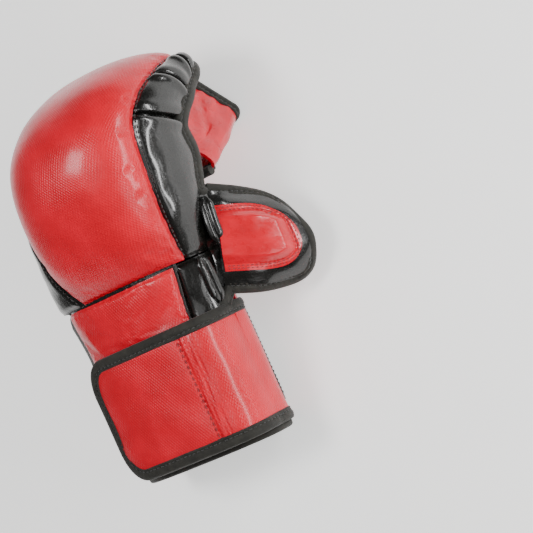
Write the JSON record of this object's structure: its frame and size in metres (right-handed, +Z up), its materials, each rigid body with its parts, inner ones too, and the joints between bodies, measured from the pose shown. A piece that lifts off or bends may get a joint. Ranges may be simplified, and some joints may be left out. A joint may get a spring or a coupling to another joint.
{
  "type": "mma glove",
  "caption": "Left-hand padded open-palm sparring glove with a moulded back, finger loops, hinged thumb hood and a hook-and-loop wrist strap.",
  "frame": {"origin": "centre of the bounding box on the surface the glove rests on", "axes": "+Z up out of the back of the hand, +Y towards the fingers, +X towards the thumb; the glove lies palm down with its fingers raised 13.2 degrees"},
  "size_m": [0.1802, 0.2712, 0.143],
  "materials": {
    "red_cover": "glossy coated synthetic leather with a fine embossed diamond grain",
    "black_cover": "glossy coated synthetic leather",
    "binding": "matte folded and stitched binding tape",
    "lining": "brushed knitted lining",
    "neoprene": "matte stretch panel",
    "foam": "closed-cell moulded foam",
    "tape": "hook and loop tape",
    "label": "plain woven label",
    "grey_print": "plain light grey printed field"
  },
  "bodies": {
    "glove": {"dome_cover": "red_cover", "wrist_cover": "red_cover", "strap_base": "red_cover", "wrist_band": "red_cover", "palm_patch": "red_cover", "finger_loop_index": "red_cover", "finger_loop_middle": "red_cover", "finger_loop_ring": "red_cover", "finger_loop_little": "red_cover", "index_gusset": "black_cover", "outer_gusset": "black_cover", "radial_panel": "black_cover", "palm_panel": "black_cover", "web_tab_upper": "black_cover", "web_tab_lower": "black_cover", "rim_binding": "binding", "cuff_mouth_binding": "binding", "wrist_band_binding": "binding", "palm_binding": "binding", "palm_bar": "binding", "strap_base_binding_upper": "binding", "strap_base_binding_lower": "binding", "loop_binding_index": "binding", "loop_binding_middle": "binding", "loop_binding_ring": "binding", "loop_binding_little": "binding", "hand_lining": "lining", "cuff_lining": "lining", "ulnar_panel": "neoprene", "hand_foam": "foam", "wrist_foam": "foam", "palm_patch_foam": "foam", "loop_tape": "tape", "strap_label": "label", "label_panel": "grey_print"},
    "strap_wrap": {"strap_root": "red_cover", "strap_root_binding_upper": "binding", "strap_root_binding_lower": "binding"},
    "strap_tip": {"strap_flap": "red_cover", "strap_flap_binding": "binding", "hook_tape": "tape"},
    "thumb_hood": {"thumb_cover": "black_cover", "thumb_foam": "foam", "thumb_lining": "lining", "thumb_patch": "red_cover", "thumb_patch_foam": "foam", "thumb_binding": "binding", "thumb_loop": "lining"}
  },
  "joints": [
    {"name": "strap_wrap_hinge", "type": "hinge", "parent": "glove", "child": "strap_wrap", "pos_m": [0.03434, -0.08445, 0.04174], "axis": [0, 0.9736, 0.2284], "range_deg": [0, 120]},
    {"name": "strap_peel_hinge", "type": "hinge", "parent": "strap_wrap", "child": "strap_tip", "pos_m": [0.00884, -0.09258, 0.07643], "axis": [0, 0.9736, 0.2284], "range_deg": [0, 110]},
    {"name": "thumb_flex", "type": "hinge", "parent": "glove", "child": "thumb_hood", "pos_m": [0.04766, -0.00357, 0.05603], "axis": [0, 0.9736, 0.2284], "range_deg": [-15, 40]}
  ]
}
